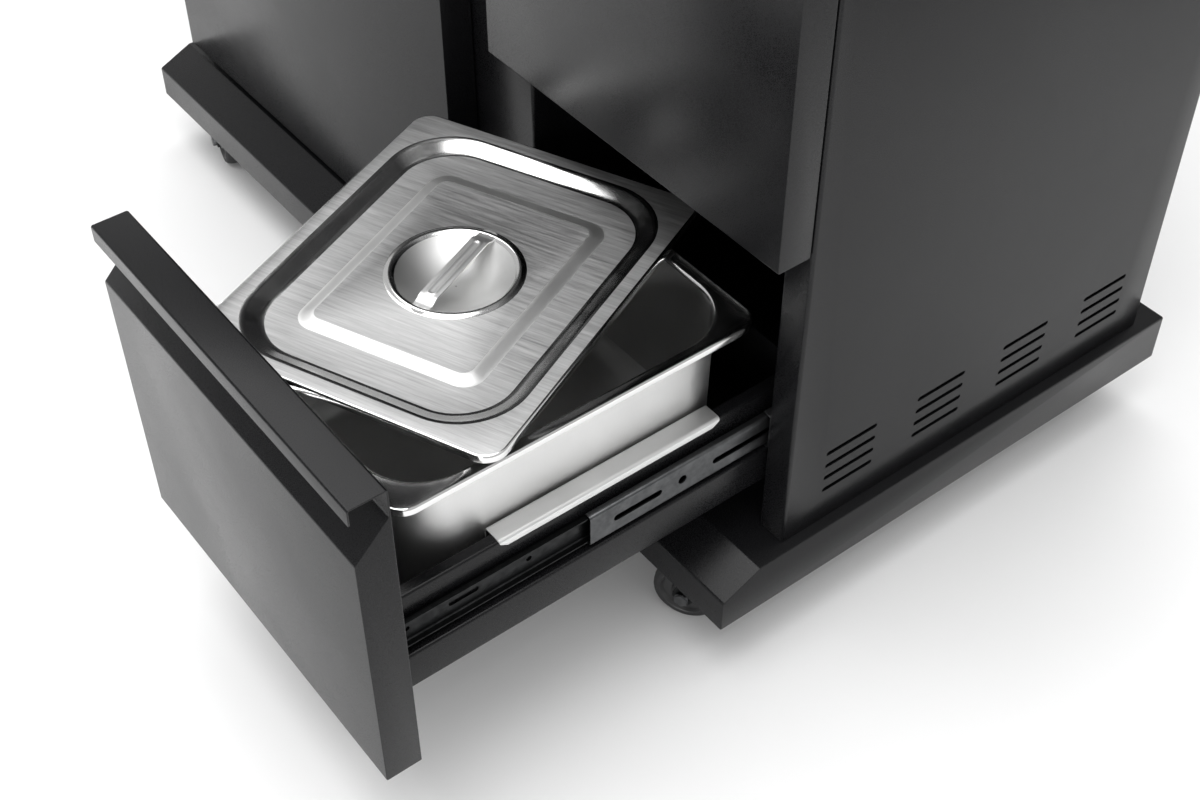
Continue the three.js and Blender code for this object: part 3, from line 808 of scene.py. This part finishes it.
def lid_place():
    """The lid's own frame: centre of its box, turned by what lid_turn takes to square it."""
    low, high = box_mm("lid")
    turn = math.radians(-JOINTS["lid_turn"]["range_deg"][0])
    centre = Vector(((low.x + high.x) / 2, (low.y + high.y) / 2, high.z - LID["flange_top"])) * MM
    return Matrix.Translation(centre) @ Matrix.Rotation(turn, 4, "Z")


def lid():
    """Pressed lid of even thickness, with a turned-down edge."""
    top, slots = lid_top()
    foot, edge, inner = top[0], top[1:5], top[5:]
    under = [(foot[0] - PRESSED, foot[1] - PRESSED, foot[2] - 1, foot[3])]
    under += [(a - PRESSED, b - PRESSED, c - 1, z - PRESSED) for a, b, c, z in edge]
    under += [(a, b, c, z - PRESSED) for a, b, c, z in inner]
    shell = pressed_shell(detail("lid"), top, under, LID_MATERIALS, slots)
    shell.matrix_world = lid_place()
    stand_for(shell, "lid")


STRAP = {
    "half_length": 54.0, "half_width": 7.5, "end_radius": 5.0, "thickness": 1.1,
    "rise": 3.0, "foot": 9.0, "ramp": 9.0,
    "lift": 0.15,          # gap between the feet and the panel
}
LOOP = {"short_of_end": 22.0, "radius": 3.1, "width": 1.0, "height": 0.9}
WELD = {"from_ramp": 4.5, "off_middle": 3.4, "radius": 1.3, "depth": 0.45}


def strap_height(u, v):
    """Feet on the panel, a ramp up, and a long pressed loop with two spot welds in each foot."""
    foot = STRAP["half_length"] - STRAP["foot"]
    climb = min(max((foot - abs(u)) / STRAP["ramp"], 0), 1)
    straight = STRAP["half_length"] - LOOP["short_of_end"]
    from_spine = math.hypot(max(abs(u) - straight, 0), v)
    loop = LOOP["height"] * math.exp(-((from_spine - LOOP["radius"]) / LOOP["width"]) ** 2)
    from_weld = math.hypot(abs(u) - foot - WELD["from_ramp"], abs(v) - WELD["off_middle"])
    weld = WELD["depth"] * math.exp(-(from_weld / WELD["radius"]) ** 4)
    return STRAP["rise"] * ease(climb) + loop - weld


def lid_strap():
    """Pressed strap over the bowl, modelled as a thick grid."""
    long_steps, wide_steps, least_end = 96, 18, 0.5
    half, round_end = STRAP["half_length"], STRAP["end_radius"]
    level = LID["field"] + LID_PANEL["rise"] + STRAP["lift"]
    bm = bmesh.new()
    sheets = []
    for lift in (STRAP["thickness"], 0.0):
        grid = []
        for i in range(long_steps + 1):
            u = -half + 2 * half * i / long_steps
            past = max(abs(u) - (half - round_end), 0)
            end = math.sqrt(max(round_end ** 2 - past ** 2, least_end ** 2))
            width = STRAP["half_width"] - round_end + end
            row = []
            for k in range(wide_steps + 1):
                v = -width + 2 * width * k / wide_steps
                row.append(bm.verts.new((v, u, level + lift + strap_height(u, v))))
            grid.append(row)
        sheets.append(grid)
        for i in range(long_steps):
            for k in range(wide_steps):
                bm.faces.new((grid[i][k], grid[i + 1][k], grid[i + 1][k + 1], grid[i][k + 1]))
    upper, lower = sheets
    border = [(i, 0) for i in range(long_steps)] + [(long_steps, k) for k in range(wide_steps)]
    border += [(i, wide_steps) for i in range(long_steps, 0, -1)] + [(0, k) for k in range(wide_steps, 0, -1)]
    for (i, k), (m, n) in zip(border, border[1:] + border[:1]):
        bm.faces.new((upper[i][k], upper[m][n], lower[m][n], lower[i][k]))
    strap = finish_mesh(detail("lid_strap"), bm, [SATIN], sharp=55)
    strap.matrix_world = lid_place()
    stand_for(strap, "lid_strap")


def pan_hanger(side, sign):
    """Folded bracket along the pan's wall: tab, level plate and a short lip whose corners are rounded."""
    node = f"pan_hanger_{side}"
    low, high = box_mm(node)
    outer, wall = (high.x, low.x) if sign > 0 else (low.x, high.x)
    lip, tab, corner = 7.0, 12.0, 7.0
    path = [(outer, high.z - lip), (outer, high.z), (wall, high.z), (wall, high.z - tab)]
    half_sheet = SHEET * sign / 2
    middle = filleted(moved_left(path, half_sheet), BEND + SHEET / 2)
    sides = (moved_left(middle, half_sheet), moved_left(middle, -half_sheet))
    bm = bmesh.new()
    grids = []
    for outline in sides:
        travelled = 0.0
        rows = []
        for i, (x, z) in enumerate(outline):
            travelled += math.dist(middle[i], middle[i - 1]) if i else 0.0
            gap = max(corner - travelled, 0)
            inset = corner - math.sqrt(corner ** 2 - gap ** 2)
            rows.append([bm.verts.new((x, y, z)) for y in (low.y + inset, high.y - inset)])
        grids.append(rows)
    for rows in grids:
        for a, b in zip(rows, rows[1:]):
            bm.faces.new((a[0], a[1], b[1], b[0]))
    for k in (0, 1):
        for i in range(len(middle) - 1):
            bm.faces.new((grids[0][i][k], grids[0][i + 1][k], grids[1][i + 1][k], grids[1][i][k]))
    for i in (0, len(middle) - 1):
        bm.faces.new((grids[0][i][0], grids[0][i][1], grids[1][i][1], grids[1][i][0]))
    stand_for(finish_mesh(detail(node), bm, [SATIN]), node)


pan()
lid()
lid_strap()
pan_hanger("right", 1)
pan_hanger("left", -1)


# ---- castors ---------------------------------------------------------------------
WHEEL = {
    "half_width": 11.0, "steps": 56,
    "tyre": 8.0, "shoulder": 5.5, "tread_half": 10.8,      # the tyre's height, its rounding, half its width
}


def castor_wheel(place):
    """Turned wheel: rounded tyre on a dished hub."""
    node = f"castor_wheel_{place}"
    roll = JOINTS[f"castor_roll_{place}"]
    low, high = box_mm(node)
    radius, half, steps = (high.z - low.z) / 2, WHEEL["half_width"], WHEEL["steps"]
    tyre = radius - WHEEL["tyre"]
    side = [                # radius, and depth below the wheel's side face
        (4.5, 0), (10.5, 0), (11.5, 0.8), (12.5, 3.6), (tyre - 2, 3.6), (tyre, 1.2), (tyre + 0.6, 0.6),
    ]
    rubber, nylon = 0, 1
    tread, tread_steps = [], 12
    for k in range(tread_steps + 1):
        angle = math.pi * (k / tread_steps - 0.5)
        bulge = max(math.cos(angle), 0) ** 0.75
        tread.append((radius - WHEEL["shoulder"] * (1 - bulge), WHEEL["tread_half"] * math.sin(angle)))
    profile = [(r, depth - half) for r, depth in side] + tread
    profile += [(r, half - depth) for r, depth in reversed(side)]
    around = [2 * math.pi * k / steps for k in range(steps)]
    bm = bmesh.new()
    rows = []               # rings of points round the axle, in the order of the profile
    for r, x in profile:
        rows.append([bm.verts.new((x, r * math.cos(angle), r * math.sin(angle))) for angle in around])
    for i, row in enumerate(rows):
        following = rows[(i + 1) % len(rows)]
        on_tyre = len(side) - 1 <= i < len(rows) - len(side)
        for k in range(steps):
            after = (k + 1) % steps
            face = bm.faces.new((row[k], row[after], following[after], following[k]))
            face.material_index = rubber if on_tyre else nylon
    wheel = finish_mesh(detail(node), bm, [RUBBER, NYLON])
    turn = math.atan2(roll["axis"][1], roll["axis"][0])
    wheel.matrix_world = Matrix.Translation(roll["pos_m"]) @ Matrix.Rotation(turn, 4, "Z")
    stand_for(wheel, node)


for end in ("front", "rear"):
    for side in ("right", "left"):
        place = f"{end}_{side}"
        refined(f"castor_plate_{place}", BLACK_ZINC, bevel=0.7)
        refined(f"castor_fork_{place}", BLACK_ZINC, bevel=0.6)
        refined(f"castor_axle_{place}", ZINC, bevel=0.5)
        castor_wheel(place)


# ---- floor, light and camera, in metres ----------------------------------------------
FLOOR_HALF = 14.0
WORLD_STRENGTH = 0.55
CAMERA = {
    "place": (1.115, -0.727, 1.185), "azimuth": 52.38, "elevation": 44.45,    # metres and degrees
    "lens": 52.23, "sensor": 36.0,                                           # millimetres
}


def floor():
    """Seamless white studio floor."""
    mesh = bpy.data.meshes.new("floor")
    corners = rectangle(-FLOOR_HALF, FLOOR_HALF, -FLOOR_HALF, FLOOR_HALF)
    mesh.from_pydata([(x, y, 0) for x, y in corners], [], [(0, 1, 2, 3)])
    finish = Finish("floor_white", (0.9, 0.9, 0.9), metallic=0.0, roughness=0.75)
    finish.tint(finish.noise(scale=3.0), dark=(0.89, 0.89, 0.89), light=(0.91, 0.91, 0.91))
    mesh.materials.append(finish.material)
    piece = bpy.data.objects.new("floor", mesh)
    bpy.context.scene.collection.objects.link(piece)


def softbox(name, place, target, size, power, spread=180):
    """Rectangular studio light aimed at a point; a small spread keeps its glow off the cabinet."""
    light = bpy.data.lights.new(name, "AREA")
    light.shape = "RECTANGLE"
    light.size, light.size_y = size
    light.energy = power
    light.spread = math.radians(spread)
    lamp = bpy.data.objects.new(name, light)
    lamp.location = place
    aim = Vector(target) - Vector(place)
    lamp.rotation_euler = aim.to_track_quat("-Z", "Y").to_euler()
    bpy.context.scene.collection.objects.link(lamp)


def studio():
    """Even white surroundings, two large lamps above, and three smaller ones for the floor and the fronts."""
    world = bpy.data.worlds.new("studio")
    world.use_nodes = True
    background = world.node_tree.nodes["Background"]
    background.inputs["Color"].default_value = (1.0, 1.0, 1.0, 1.0)
    background.inputs["Strength"].default_value = WORLD_STRENGTH
    bpy.context.scene.world = world
    softbox("main", (-0.8, 0.4, 3.2), target=(-0.3, 0.1, 0.0), size=(3.2, 2.6), power=72.0)
    softbox("overhead", (0.7, -0.9, 3.0), target=(0.3, -0.3, 0.0), size=(2.0, 1.6), power=38.0)
    softbox("floor_left", (-0.8, -2.0, 1.7), target=(-0.8, -1.9, 0.0), size=(2.0, 1.8), power=28.0, spread=70)
    softbox("floor_right", (1.8, 0.5, 1.7), target=(1.8, 0.4, 0.0), size=(1.2, 1.8), power=8.0, spread=80)
    softbox("front_right", (1.6, -2.6, 0.8), target=(0.3, -0.3, 0.3), size=(1.2, 1.0), power=24.0)


def camera():
    """View from the right, in front and above."""
    data = bpy.data.cameras.new("camera")
    data.lens = CAMERA["lens"]
    data.sensor_width = CAMERA["sensor"]
    view = bpy.data.objects.new("camera", data)
    view.location = CAMERA["place"]
    azimuth, elevation = math.radians(CAMERA["azimuth"]), math.radians(CAMERA["elevation"])
    level = math.cos(elevation)
    aim = Vector((-math.sin(azimuth) * level, math.cos(azimuth) * level, -math.sin(elevation)))
    view.rotation_euler = aim.to_track_quat("-Z", "Y").to_euler()
    bpy.context.scene.collection.objects.link(view)
    bpy.context.scene.camera = view


floor()
studio()
camera()
bpy.context.scene.view_settings.view_transform = "Standard"
